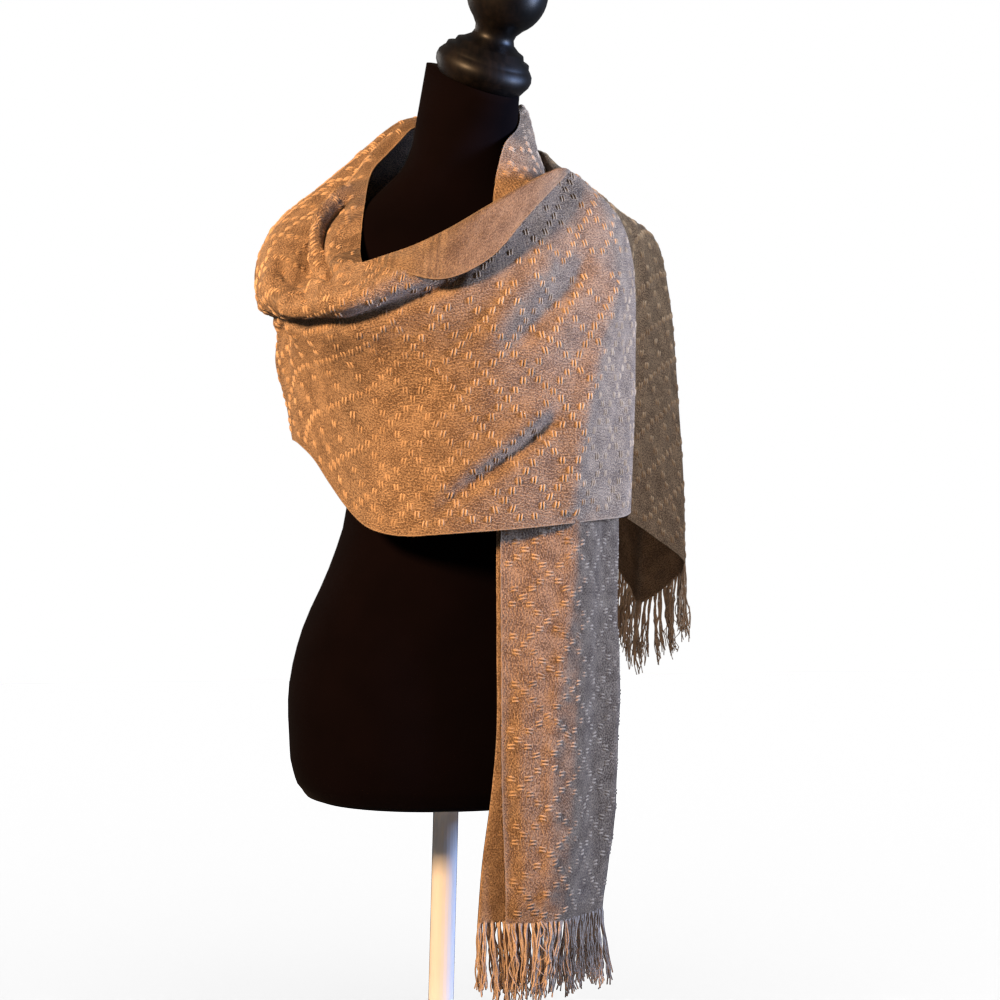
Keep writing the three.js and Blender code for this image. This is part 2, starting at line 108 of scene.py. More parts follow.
# Materials' common parts
# Each look is one tree of nodes. Cloth and yarn are made in two or three shades, so their
# trees are functions.
class Paint:
    """One node material. Each call adds a node and links what it is given."""

    def __init__(self, name):
        self.material = bpy.data.materials.new(name)
        self.material.use_nodes = True
        self.tree = self.material.node_tree
        self.shader = self.tree.nodes["Principled BSDF"]

    def node(self, kind, settings=None, **sockets):
        """A node of a kind, with its settings, and its sockets by their names."""
        made = self.tree.nodes.new(kind)
        for key, value in (settings or {}).items():
            setattr(made, key, value)
        for key, value in sockets.items():
            self.join(value, made.inputs[key.replace("_", " ")])
        return made

    def join(self, value, socket):
        """Give a socket another node's output or a plain value."""
        if isinstance(value, bpy.types.NodeSocket):
            self.tree.links.new(value, socket)
        else:
            socket.default_value = value

    def math(self, how, a, b=0.0):
        """The result of one sum or product."""
        made = self.tree.nodes.new("ShaderNodeMath")
        made.operation = how
        self.join(a, made.inputs[0])
        self.join(b, made.inputs[1])
        return made.outputs[0]

    def blend(self, part, a, b):
        """The colour between a and b at a part from 0 to 1."""
        made = self.tree.nodes.new("ShaderNodeMix")
        made.data_type = "RGBA"
        self.join(part, made.inputs[0])
        self.join(a, made.inputs[6])
        self.join(b, made.inputs[7])
        return made.outputs[2]

    def finish(self, **sockets):
        """Link the shader's sockets by their names and give the material."""
        for key, value in sockets.items():
            self.join(value, self.shader.inputs[key.replace("_", " ")])
        return self.material


def cloth_material(name, dark, light, rib):
    """Heathered yarn in fine ribs. The map's V runs across the scarf and U along it.

    Colour: two noises mix the dark and the light yarn, with painted shade between the ribs,
    and one plain tone in the selvedge. Bump: ribs every rib metres across, and the finer noise.
    """
    paint = Paint(name)
    where = paint.node("ShaderNodeUVMap", {"uv_map": "cloth"}).outputs[0]
    drawn = paint.node("ShaderNodeMapping", Vector=where, Scale=(0.75, 1.0, 1.0)).outputs[0]
    slub = paint.node(
        "ShaderNodeTexNoise", Vector=drawn, Scale=760.0, Detail=2.0, Roughness=0.62,
    ).outputs[0]
    patch = paint.node("ShaderNodeTexNoise", Vector=where, Scale=60.0, Detail=3.0).outputs[0]
    # A wave texture's band is 0.314 wide at scale 1.
    band = 0.314
    ribs = paint.node(
        "ShaderNodeTexWave", {"wave_type": "BANDS", "bands_direction": "Y"},
        Vector=where, Scale=band / rib, Distortion=0.7, Detail=2.0, Detail_Scale=9.0,
    ).outputs[1]
    mixed = paint.math("ADD", slub, paint.math("MULTIPLY", patch, 0.35))
    part = paint.node("ShaderNodeMapRange", Value=mixed, From_Min=0.565, From_Max=0.83).outputs[0]
    # Painted shade: the colour is darker between the ribs, where shade falls in the grooves.
    painted_rib_shade = paint.math("ADD", paint.math("MULTIPLY", ribs, 0.45), 0.7)
    yarn_part_and_rib_shade = paint.math("MULTIPLY", part, painted_rib_shade)
    edge = paint.node("ShaderNodeAttribute", {"attribute_name": "edge"}).outputs["Fac"]
    past_edge = paint.node("ShaderNodeMapRange", Value=edge, From_Min=0.9, From_Max=1.9)
    heather_and_painted_shade = paint.blend(yarn_part_and_rib_shade, (*dark, 1), (*light, 1))
    selvedge = tuple(0.72 * c for c in light) + (1,)
    fuzz, ridges = paint.math("MULTIPLY", slub, 0.9), paint.math("MULTIPLY", ribs, 0.5)
    height = paint.math("ADD", fuzz, ridges)
    bump = paint.node("ShaderNodeBump", Height=height, Strength=1.0, Distance=0.0019)
    return paint.finish(
        Base_Color=paint.blend(past_edge.outputs[0], selvedge, heather_and_painted_shade),
        Roughness=0.92, Normal=bump.outputs[0], Sheen_Weight=0.12, Sheen_Roughness=0.5,
    )


right_side = cloth_material("cloth_right", (0.15, 0.078, 0.036), (0.71, 0.46, 0.27), 0.0013)
wrong_side = cloth_material("cloth_wrong", (0.18, 0.095, 0.045), (0.66, 0.43, 0.25), 0.0010)


def yarn_material(name, dark, light, scale):
    """Soft twisted yarn: fine noise in object coordinates for colour and fuzz."""
    paint = Paint(name)
    where = paint.node("ShaderNodeTexCoord").outputs["Object"]
    grain = paint.node("ShaderNodeTexNoise", Vector=where, Scale=scale, Detail=3.0).outputs[0]
    tone = paint.node("ShaderNodeTexNoise", Vector=where, Scale=40.0, Detail=2.0).outputs[0]
    part = paint.node(
        "ShaderNodeMapRange", Value=paint.math("ADD", grain, tone), From_Min=0.7, From_Max=1.3,
    ).outputs[0]
    bump = paint.node("ShaderNodeBump", Height=grain, Strength=0.4, Distance=0.0008)
    return paint.finish(
        Base_Color=paint.blend(part, (*dark, 1), (*light, 1)), Roughness=0.78,
        Normal=bump.outputs[0], Sheen_Weight=0.3, Sheen_Roughness=0.4,
    )


float_yarn = yarn_material("float_yarn", (0.30, 0.175, 0.085), (0.68, 0.455, 0.27), 1400.0)
fringe_yarn = yarn_material("fringe_yarn", (0.33, 0.215, 0.135), (0.72, 0.535, 0.385), 900.0)


# Shared shapes
# Smooth sheets through tables of rails, the lengths on them, the cloth's wall, its raised
# pairs of floats and its creases. All lengths are in millimetres.
FINE = 4
HALF_WALL = 0.8


def hermite(knots, values, cells):
    """Smooth curve through values (rows along the last axis but one) at their knots.

    A cubic on each interval; a knot's slope is the two neighbouring slopes, each weighted
    by the other interval. cells[k] points are made after knot k.
    """
    gap = np.diff(knots, axis=-1)[..., None]
    rise = np.diff(values, axis=-2) / gap
    inner = rise[..., :-1, :] * gap[..., 1:, :] + rise[..., 1:, :] * gap[..., :-1, :]
    inner = inner / (gap[..., :-1, :] + gap[..., 1:, :])
    slope = np.concatenate([rise[..., :1, :], inner, rise[..., -1:, :]], axis=-2)
    parts = [values[..., :1, :]]
    for k, count in enumerate(cells):
        s = (np.arange(1, count + 1) / count)[:, None]
        start, end = values[..., k : k + 1, :], values[..., k + 1 : k + 2, :]
        leave = slope[..., k : k + 1, :] * gap[..., k : k + 1, :]
        reach = slope[..., k + 1 : k + 2, :] * gap[..., k : k + 1, :]
        parts.append(
            (2 * s**3 - 3 * s**2 + 1) * start + (s**3 - 2 * s**2 + s) * leave
            + (3 * s**2 - 2 * s**3) * end + (s**3 - s**2) * reach
        )
    return np.concatenate(parts, axis=-2)


def place(angle, out, up):
    """Points from an angle round the pole from the front, a reach and a height."""
    a = np.radians(angle)
    return np.stack([out * np.sin(a), -out * np.cos(a), up], axis=-1)


def loft(rows, steps, to_points, cells):
    """A grid of points through a table's rows: smooth along the rows, then across each.

    steps and cells count the solid's cells between rows and between rails. Here each is
    FINE cells long and wide. to_points turns rows into the rails' points.
    """
    rows = np.array(rows, float)
    knots = np.concatenate([[0], np.cumsum(np.maximum(np.abs(np.diff(rows[:, 0])), 2))])
    spread = hermite(knots, rows, [n * FINE for n in steps])
    rails = to_points(spread)
    chord = np.sqrt(np.linalg.norm(np.diff(rails, axis=1), axis=2))
    across = np.concatenate([np.zeros((len(chord), 1)), np.cumsum(chord, axis=1)], axis=1)
    return hermite(across, rails, [n * FINE for n in cells])


def rails_at_angle(rows):
    """Rail points of rows that hold an angle, then a reach and a height for each rail."""
    return place(rows[:, :1], rows[:, 1::2], rows[:, 2::2])


def normals(grid):
    """Unit normals of a grid: the step along the rows crossed with the step across."""
    made = np.cross(np.gradient(grid, axis=0), np.gradient(grid, axis=1))
    return made / np.linalg.norm(made, axis=2, keepdims=True)


def mesh_piece(name, points, quads, materials, kinds=None, weave=None, shading=None):
    """A smooth mesh object from points in millimetres and quads, riding on the one body.

    weave holds each point's lengths along and across the cloth and its distance from the
    nearer selvedge; shading holds each point's normal where it isn't the faces' mean.
    """
    data = bpy.data.meshes.new(name)
    data.vertices.add(len(points))
    data.vertices.foreach_set("co", (np.asarray(points) * MM).ravel().astype(np.float32))
    data.loops.add(quads.size)
    data.loops.foreach_set("vertex_index", quads.ravel().astype(np.int32))
    data.polygons.add(len(quads))
    data.polygons.foreach_set("loop_start", np.arange(0, quads.size, 4, dtype=np.int32))
    data.polygons.foreach_set("loop_total", np.full(len(quads), 4, dtype=np.int32))
    data.update(calc_edges=True)
    data.validate()
    data.shade_smooth()
    for material in materials:
        data.materials.append(material)
    if kinds is not None:
        data.polygons.foreach_set("material_index", kinds.astype(np.int32))
    if weave is not None:
        layer = data.uv_layers.new(name="cloth")
        layer.data.foreach_set("uv", (weave[:, :2] * MM)[quads.ravel()].ravel())
        edge = data.attributes.new("edge", "FLOAT", "POINT")
        edge.data.foreach_set("value", weave[:, 2].astype(np.float32))
    if shading is not None:
        data.normals_split_custom_set_from_vertices(shading.tolist())
    piece = bpy.data.objects.new(name, data)
    bpy.context.scene.collection.objects.link(piece)
    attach(piece, "root")
    return piece


def grid_quads(rows, cols, first=0):
    """Quads between the points of a grid that is numbered row by row from first."""
    at = first + np.arange(rows * cols).reshape(rows, cols)
    return np.stack([at[:-1, :-1], at[1:, :-1], at[1:, 1:], at[:-1, 1:]], axis=-1).reshape(-1, 4)


def cloth_lengths(grid, anchor):
    """Lengths on the cloth: U along the scarf from row anchor, V across from the last column."""
    along = np.linalg.norm(np.diff(grid, axis=0), axis=2)
    along = np.concatenate([np.zeros((1, grid.shape[1])), np.cumsum(along, axis=0)])
    across = np.linalg.norm(np.diff(grid, axis=1), axis=2)
    across = np.concatenate([np.zeros((grid.shape[0], 1)), np.cumsum(across, axis=1)], axis=1)
    return along - along[anchor], across[:, -1:] - across


def selvedge_distance(v):
    """Each point's distance across the cloth from the nearer of its two long edges."""
    return np.minimum(v, v.max(axis=1, keepdims=True) - v)


def cloth_wall(name, grid, normal, weave, face):
    """A closed cloth wall on a grid. Its right side lies along the normals where face is 1,
    and on the other side where face is -1.
    """
    rows, cols = grid.shape[:2]
    skin = np.concatenate([
        (grid + HALF_WALL * normal).reshape(-1, 3), (grid - HALF_WALL * normal).reshape(-1, 3),
    ])
    count = rows * cols
    front = grid_quads(rows, cols)
    back = grid_quads(rows, cols, count)[:, ::-1]
    at = np.arange(count).reshape(rows, cols)
    ring = np.concatenate([at[:-1, 0], at[-1, :-1], at[:0:-1, -1], at[0, :0:-1]])
    after = np.roll(ring, -1)
    rim = np.stack([ring, ring + count, after + count, after], axis=-1)
    outer, inner = (0, 1) if face > 0 else (1, 0)
    kinds = np.concatenate([
        np.full(len(front), outer), np.full(len(back), inner), np.zeros(len(rim)),
    ])
    quads = np.concatenate([front, back, rim])
    charted = np.tile(np.stack([part.ravel() for part in weave], axis=-1), (2, 1))
    shading = np.concatenate([normal.reshape(-1, 3), -normal.reshape(-1, 3)])
    return mesh_piece(name, skin, quads, [right_side, wrong_side], kinds, charted, shading)


def between(lines, k):
    """Lines of a table at fractional places k, mixed from the two next to each."""
    k0 = np.clip(k.astype(int), 0, len(lines) - 2)
    part = (k - k0)[:, None]
    return lines[k0] * (1 - part) + lines[k0 + 1] * part


def sample(values, i, j):
    """Values of a grid at fractional rows i and columns j."""
    i0 = np.clip(i.astype(int), 0, values.shape[0] - 2)
    j0 = np.clip(j.astype(int), 0, values.shape[1] - 2)
    s, t = i - i0, j - j0
    if values.ndim == 3:
        s, t = s[..., None], t[..., None]
    near = values[i0, j0] * (1 - t) + values[i0, j0 + 1] * t
    far = values[i0 + 1, j0] * (1 - t) + values[i0 + 1, j0 + 1] * t
    return near * (1 - s) + far * s


def crossing(lines, wanted):
    """The fractional place where each rising line reaches its wanted value."""
    k = np.clip((lines <= wanted[:, None]).sum(axis=1) - 1, 0, lines.shape[1] - 2)
    here, there = lines[np.arange(len(k)), k], lines[np.arange(len(k)), k + 1]
    return k + (wanted - here) / np.maximum(there - here, 1e-6)


def float_pairs(name, grid, normal, u, v, face):
    """The weave's raised pairs: two short floats side by side, laid across the scarf.

    Pairs lie on both diagonals of a repeat of 6 by 6 steps, so they draw diamonds. A pair's
    row and column on the grid are found by turns from its two lengths on the cloth.
    """
    step_u, step_v, first_v, repeat, row_in_repeat = 7.4, 8.3, 2.8, 6, 3
    length, apart, width, height = 8.8, 3.2, 2.1, 1.2
    margin_u, margin_v = 3.4, 3.0
    a, b = np.meshgrid(
        np.arange(math.floor(u.min() / step_u), math.ceil(u.max() / step_u) + 1),
        np.arange(0, math.ceil(v.max() / step_v) + 1), indexing="ij",
    )
    chosen = ((a - b) % repeat == row_in_repeat) | ((a + b) % repeat == row_in_repeat)
    uneven = np.random.default_rng(7).normal(0, 0.4, (2, chosen.sum()))
    uu = a[chosen] * step_u + uneven[0]
    vv = b[chosen] * step_v + first_v + uneven[1]
    j = np.full(len(uu), grid.shape[1] / 2)
    for _ in range(6):
        i = crossing(between(u.T, j), uu)
        j = grid.shape[1] - 1 - crossing(between(v, i)[:, ::-1], vv)
        i, j = np.clip(i, 0, grid.shape[0] - 1), np.clip(j, 0, grid.shape[1] - 1)
    du = sample(np.gradient(u, axis=0), i, j)
    dv = sample(-np.gradient(v, axis=1), i, j)
    room_i, room_j = margin_u / du, (margin_v + length / 2) / dv
    inside = (i > room_i) & (i < grid.shape[0] - 1 - room_i)
    inside &= (j > room_j) & (j < grid.shape[1] - 1 - room_j)
    i, j, du, dv = (x[inside][:, None, None, None] for x in (i, j, du, dv))
    along = np.array([-0.5, -0.27, 0.0, 0.27, 0.5])[:, None]
    full = np.array([0.55, 0.95, 1.0, 0.95, 0.55])[:, None]
    arch = np.array([-1.35, -0.25, 0.0, -0.25, -1.35])[:, None]
    cross = np.array([-0.5, -0.3, 0.3, 0.5])[None, :]
    crown = np.array([-0.25, 0.8, 0.8, -0.25])[None, :]
    chance = np.random.default_rng(3)
    pair_lean = chance.normal(0, 0.12, (len(i), 1, 1, 1))
    lean = pair_lean + chance.normal(0, 0.04, (len(i), 2, 1, 1))
    size = 1 + chance.normal(0, 0.08, (len(i), 2, 1, 1))
    side = np.array([-0.5, 0.5])[None, :, None, None] * apart
    off_v = along * length * size + 0 * cross
    off_u = side + cross * full * width + off_v * lean
    at_i, at_j = i + off_u / du, j - off_v / dv
    lift = (face * (HALF_WALL + height * (crown + arch)))[None, None, :, :, None]
    points = sample(grid, at_i, at_j) + sample(normal, at_i, at_j) * lift
    one = grid_quads(along.size, cross.size)
    starts = along.size * cross.size * np.arange(2 * len(i))
    quads = (one[None] + starts[:, None, None]).reshape(-1, 4)
    if face < 0:
        quads = quads[:, ::-1]
    return mesh_piece(name, points.reshape(-1, 3), quads, [float_yarn])


def stretch(name, grid, normal, weave, face):
    """One stretch of the scarf, wall and raised pairs, which stands for the CAD node name.

    weave holds the lengths along and across and the distance from a selvedge.
    """
    cloth = cloth_wall(name + "_cloth", grid, normal, weave, face)
    floats = float_pairs(name + "_floats", grid, normal, weave[0], weave[1], face)
    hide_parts(name)
    return cloth


def creases(grid, u, v, table, outward, rim=22):
    """Soft ridges and troughs pressed into a sheet along its normals.

    A fold has three points of its middle line, each a length along and a length across the
    cloth, then its depth, out of the cloth where positive, its half width, and the part of
    its length over which each end dies out. The line is the parabola through the three
    points, and the depth falls off from it as a bell. outward is 1 where the normals point
    out of the drape and -1 where they point in. Within rim of the sheet's two ends along
    the cloth the push dies out, so the next piece still meets it.
    """
    push = np.zeros(u.shape)
    t = np.linspace(0, 1, 33)
    for u0, v0, u1, v1, u2, v2, depth, half, fade in table:
        first, middle, last = (1 - t) * (1 - 2 * t), 4 * t * (1 - t), t * (2 * t - 1)
        line_u = first * u0 + middle * u1 + last * u2
        line_v = first * v0 + middle * v1 + last * v2
        away = np.hypot(u[..., None] - line_u, v[..., None] - line_v)
        shade = np.clip(np.minimum(t, 1 - t) / fade, 0, 1)
        soft = (shade * shade * (3 - 2 * shade))[away.argmin(axis=2)]
        push += depth * soft * np.exp(-((away.min(axis=2) / half) ** 2))
    if rim:
        push *= np.clip(np.minimum(u - u.min(axis=0), u.max(axis=0) - u) / rim, 0, 1)
    return grid + outward * push[..., None] * normals(grid)


# Floor
# A plain pale sheet under the stand, far wider than the picture. It only catches shadows,
# so the ground stays white.
floor_paint = Paint("floor")
floor_spot = floor_paint.node("ShaderNodeTexCoord").outputs["Object"]
floor_tone = floor_paint.node("ShaderNodeTexNoise", Vector=floor_spot, Scale=3.0).outputs[0]
floor_look = floor_paint.finish(
    Base_Color=floor_paint.blend(floor_tone, (0.86, 0.85, 0.84, 1), (0.90, 0.89, 0.88, 1)),
    Roughness=0.9,
)
wide, under = 4000, -1
corners = np.array([
    [-wide, -wide, under], [wide, -wide, under], [wide, wide, under], [-wide, wide, under],
])
floor = bpy.data.objects.new("floor", bpy.data.meshes.new("floor"))
floor.data.from_pydata((corners * MM).tolist(), [], [(0, 1, 2, 3)])
floor.data.materials.append(floor_look)
bpy.context.scene.collection.objects.link(floor)
floor.is_shadow_catcher = True

# Dress form
# A limbless tailor's form in black velvet: chest, waist and hips, flat shoulder ends, and
# a leaning neck that is cut off at a slope. Columns: height, half the width, and the
# depth to the front and to the back.
form_rows = np.array([
    [271, 114, 74, 84], [274, 132, 92, 100], [283, 146, 104, 112], [300, 155, 110, 118],
    [335, 160, 113, 122], [388, 161, 112, 124], [440, 150, 106, 114], [500, 125, 97, 97],
    [560, 109, 90, 84], [610, 116, 96, 84], [660, 132, 112, 90], [700, 147, 125, 96],
    [745, 152, 112, 98], [785, 156, 90, 94], [808, 155, 76, 86], [822, 152, 69, 79],
    [836, 137, 63, 72], [850, 116, 58, 66], [866, 94, 54, 61], [882, 77, 52, 58],
    [898, 62, 52, 54], [915, 54, 54, 49], [935, 51, 58, 43], [955, 49, 65, 33],
    [984, 46, 72, 20],
], float)
velvet = Paint("velvet")
velvet_spot = velvet.node("ShaderNodeTexCoord").outputs["Object"]
nap = velvet.node("ShaderNodeTexNoise", Vector=velvet_spot, Scale=900.0, Detail=2.0).outputs[0]
brushed = velvet.node("ShaderNodeTexNoise", Vector=velvet_spot, Scale=22.0, Detail=3.0).outputs[0]
velvet_bump = velvet.node("ShaderNodeBump", Height=nap, Strength=0.3, Distance=0.0005)
velvet_look = velvet.finish(
    Base_Color=velvet.blend(brushed, (0.0016, 0.0007, 0.0009, 1), (0.0042, 0.0018, 0.0022, 1)),
    Roughness=0.95, Normal=velvet_bump.outputs[0], Sheen_Weight=0.012, Sheen_Roughness=0.35,
    Specular_IOR_Level=0.04,
)
# The skin lies half a millimetre inside the solid's, clear of the cloth.
form_sides, inside_solid = 96, 0.5
rings = hermite(form_rows[:, 0], form_rows, [3] * (len(form_rows) - 1))
around = np.radians(np.arange(form_sides) * 360 / form_sides)
sine, cosine = np.sin(around)[None], np.cos(around)[None]
depth = np.where(cosine > 0, rings[:, 2:3], rings[:, 3:4])
# The rings are a little squarer than an ellipse, but not where the neck tilts.
tilt_from, neck_top, neck_x, neck_y, forward, sideways = 915, 984, 4, -26, 26, 7
power = np.where(rings[:, :1] > tilt_from, 2.0, 2.2)
reach = np.abs(sine / rings[:, 1:2]) ** power + np.abs(cosine / depth) ** power
reach = reach ** (-1 / power) - inside_solid
skin = np.stack([reach * sine, -reach * cosine, rings[:, :1] + 0 * sine], axis=-1)
lean = np.clip((skin[..., 2:] - tilt_from) / (neck_top - tilt_from), 0, 1)
tilt = math.tan(math.radians(forward)) * (skin[..., 1:2] - neck_y)
tilt = tilt - math.tan(math.radians(sideways)) * skin[..., :1]
skin = skin + lean * np.concatenate([0 * tilt + neck_x, 0 * tilt, tilt], axis=-1)
# Each end of the form closes on a tiny ring in its middle.
middles = [skin[k].mean(axis=0) for k in (0, -1)]
lids = [mid + 0.002 * (skin[k] - mid) for k, mid in zip((0, -1), middles)]
skin = np.concatenate([lids[:1], skin, lids[1:]])


def turned_quads(rings, sides):
    """Quads round a stack of closed rings, facing out."""
    at = np.arange(rings)[:, None] * sides + np.arange(sides + 1)[None] % sides
    quads = [at[:-1, :-1], at[:-1, 1:], at[1:, 1:], at[1:, :-1]]
    return np.stack(quads, axis=-1).reshape(-1, 4)


form_quads = turned_quads(len(skin), form_sides)
form = mesh_piece("form_velvet", skin.reshape(-1, 3), form_quads, [velvet_look])
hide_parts("form_body")

# Neck cap
# Turned dark wood, oiled, with a stepped foot and a ball, set square on the sloping cut.
# The grain runs up the axis. Columns of the foot's profile: radius and height.
# A turned profile closes on a ring with the radius tip.
tip = 0.05
cap_foot = [
    [tip, 0], [41, 0], [42.5, 0.6], [45, 5], [48, 10], [49, 15], [48, 20], [45, 24], [43, 26],
    [42, 30], [36, 32], [34, 37], [29, 39], [22, 44], [20, 49], [21, 54],
]
ball_radius, ball_height, cap_sides, cap_gap = 40, 91, 72, 0.3
neck_of_ball = math.asin(cap_foot[-1][0] / ball_radius)
ball = [
    [max(ball_radius * math.sin(a), tip), ball_height - ball_radius * math.cos(a)]
    for a in np.linspace(neck_of_ball, math.pi, 19)[1:]
]
profile = np.array(cap_foot + ball)
spin = np.radians(np.arange(cap_sides) * 360 / cap_sides)
cap_points = np.stack([
    profile[:, :1] * np.cos(spin), profile[:, :1] * np.sin(spin), profile[:, 1:] + 0 * spin,
], axis=-1)
axis = Vector((
    math.tan(math.radians(sideways)), -math.tan(math.radians(forward)), 1,
)).normalized()
leaned = np.array(Vector((0, 0, 1)).rotation_difference(axis).to_matrix())
cap_seat = np.array([neck_x, neck_y, neck_top])
cap_points = cap_points @ leaned.T + cap_seat + np.array(axis) * cap_gap
wood = Paint("dark_wood")
wood_spot = wood.node("ShaderNodeTexCoord").outputs["Object"]
along_grain = wood.node("ShaderNodeMapping", Vector=wood_spot, Scale=(1.0, 1.0, 0.16)).outputs[0]
grain = wood.node(
    "ShaderNodeTexNoise", Vector=along_grain, Scale=180.0, Detail=6.0, Roughness=0.6,
).outputs[0]
wear = wood.node("ShaderNodeTexNoise", Vector=wood_spot, Scale=26.0, Detail=4.0).outputs[0]
wood_tone = wood.math("MULTIPLY", grain, wear)
wood_part = wood.node(
    "ShaderNodeMapRange", Value=wood_tone, From_Min=0.15, From_Max=0.42,
).outputs[0]
wood_rough = wood.node(
    "ShaderNodeMapRange", Value=wear, From_Min=0.3, From_Max=0.7, To_Min=0.34, To_Max=0.52,
).outputs[0]
wood_bump = wood.node("ShaderNodeBump", Height=grain, Strength=0.15, Distance=0.0006)
wood_look = wood.finish(
    Base_Color=wood.blend(wood_part, (0.0016, 0.0014, 0.0014, 1), (0.010, 0.007, 0.0055, 1)),
    Roughness=wood_rough, Normal=wood_bump.outputs[0], Specular_IOR_Level=0.22,
)
cap_quads = turned_quads(len(profile), cap_sides)
cap = mesh_piece("cap_wood", cap_points.reshape(-1, 3), cap_quads, [wood_look])
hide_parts("neck_cap")

# Stand
# The painted steel flange, pole and round base. They keep their solids' shape.
steel = Paint("painted_metal")
steel_spot = steel.node("ShaderNodeTexCoord").outputs["Object"]
speck = steel.node("ShaderNodeTexNoise", Vector=steel_spot, Scale=700.0, Detail=3.0).outputs[0]
scuff = steel.node("ShaderNodeTexNoise", Vector=steel_spot, Scale=14.0, Detail=5.0).outputs[0]
steel_rough = steel.node(
    "ShaderNodeMapRange", Value=scuff, From_Min=0.3, From_Max=0.7, To_Min=0.38, To_Max=0.58,
).outputs[0]
steel_bump = steel.node("ShaderNodeBump", Height=speck, Strength=0.1, Distance=0.0003)
steel_look = steel.finish(
    Base_Color=steel.blend(scuff, (0.70, 0.69, 0.67, 1), (0.80, 0.79, 0.77, 1)),
    Roughness=steel_rough, Normal=steel_bump.outputs[0],
)
for name in ("stand_flange", "stand_pole", "stand_base"):
    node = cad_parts[name]
    node.data.materials.clear()
    node.data.materials.append(steel_look)

# The wrap
# One sheet from the left of the back round the right shoulder to the left of the front.
# Its upper part is rolled over and turned down as a collar, wrong side out at the neck, and
# it falls as a wide loop in front. It shows as four stretches: back, shoulder, collar and
# front. Columns: angle, then reach and height of the selvedge, the inner ridge, the hollow,
# the crest, the roll, the tuck, the chest and the hem. They are the solids' rows, but the
# hem from 240 to 280 degrees hangs 2 to 10 mm lower, over what would show of the form.
wrap_rows = [
    [105, 60, 968, 67, 975, 74, 972, 84, 953, 128, 876, 161, 802, 158, 710, 150, 610],
    [130, 63, 962, 71, 971, 78, 969, 85, 955, 118, 886, 148, 806, 146, 710, 138, 598],
    [155, 65, 956, 72, 966, 78, 966, 85, 954, 106, 886, 124, 806, 126, 710, 122, 596],
    [180, 65, 953, 72, 964, 78, 965, 85, 955, 103, 886, 117, 806, 119, 710, 118, 600],
    [195, 65, 953, 71, 962, 76, 963, 84, 962, 108, 890, 126, 806, 128, 712, 124, 606],
    [210, 66, 947, 74, 954, 79, 950, 87, 954, 128, 882, 152, 804, 148, 715, 138, 616],
    [225, 69, 932, 80, 939, 87, 928, 98, 932, 154, 864, 176, 794, 167, 715, 151, 624],
    [240, 79, 913, 91, 918, 104, 899, 127, 894, 172, 846, 187, 778, 173, 708, 158, 625],
    [255, 89, 897, 104, 894, 122, 868, 165, 855, 198, 811, 199, 758, 178, 703, 162, 626],
    [270, 101, 876, 132, 862, 150, 838, 199, 812, 212, 778, 201, 742, 180, 698, 163, 620],
    [280, 113, 853, 160, 836, 168, 802, 206, 786, 217, 756, 205, 734, 178, 692, 160, 605],
    [288, 127, 832, 176, 800, 182, 772, 205, 770, 218, 744, 204, 729, 176, 690, 158, 584],
    [296, 146, 800, 178, 790, 184, 776, 198, 772, 217, 744, 202, 728, 172, 688, 156, 562],
    [304, 163, 784, 175, 787, 182, 784, 189, 777, 211, 746, 198, 731, 163, 688, 155, 545],
    [312, 176, 783, 176, 790, 174, 793, 172, 790, 199, 755, 188, 739, 158, 688, 155, 538],
    [321, 181, 776, 173, 794, 163, 804, 157, 801, 181, 768, 177, 750, 155, 688, 156, 536],
    [330, 180, 771, 170, 797, 158, 817, 151, 815, 162, 782, 168, 756, 154, 688, 157, 538],
    [345, 170, 792, 159, 820, 146, 843, 139, 839, 148, 806, 159, 774, 157, 690, 158, 542],
    [360, 154, 837, 147, 852, 136, 866, 128, 861, 137, 826, 154, 786, 163, 692, 161, 546],
    [375, 141, 870, 137, 878, 130, 884, 123, 877, 134, 838, 155, 790, 169, 694, 167, 551],
    [387, 131, 887, 128, 891, 123, 892, 120, 886, 137, 846, 159, 798, 174, 697, 173, 555],
    [400, 113, 888, 118, 891, 125, 889, 133, 880, 149, 858, 168, 806, 178, 699, 178, 558],
    [415, 95, 899, 105, 896, 119, 888, 138, 874, 158, 853, 172, 814, 178, 700, 177, 563],
]
wrap_steps = [2, 2, 2, 1, 2, 2, 2, 3, 3] + [2] * 13
wrap_cells = [2, 2, 3, 3, 3, 5, 6]
TUCK, BACK_END, SHOULDER_END, MAP_START = 13 * FINE, 9 * FINE, 23 * FINE, 34 * FINE
wrap = loft(wrap_rows, wrap_steps, rails_at_angle, wrap_cells)
whole_u, whole_v = cloth_lengths(wrap, MAP_START)
# Columns of every table of folds: length along and length across at one end, the middle and
# the other end, then depth, half width and fade.
front_folds = [
    [105, 252, 62, 226, 8, 158, 6, 14, 0.25],
    [152, 255, 100, 214, 32, 154, -9, 13, 0.25],
    [186, 240, 130, 130, 110, -8, 7, 15, 0.12],
    [216, 190, 178, 95, 168, -8, -5, 17, 0.15],
    [94, 124, 42, 82, -36, 33, 4, 11, 0.3],
    [102, 108, 52, 70, -34, 15, -9, 8, 0.3],
    [185, 185, 100, 150, 20, 120, -3, 18, 0.3],
    [-10, 146, -47, 119, -84, 84, -4, 16, 0.4],
    [-190, 146, -111, 197, 10, 238, -12, 8, 0.15],
    [-300, 122, -236, 126, -150, 167, -8, 7, 0.2],
    [-345, 116, -240, 106, -165, 128, -12, 18, 0.35],
    [-250, 152, -150, 214, -20, 256, 5, 11, 0.2],
    [-150, 165, -120, 110, -105, 20, 3, 16, 0.3],
]
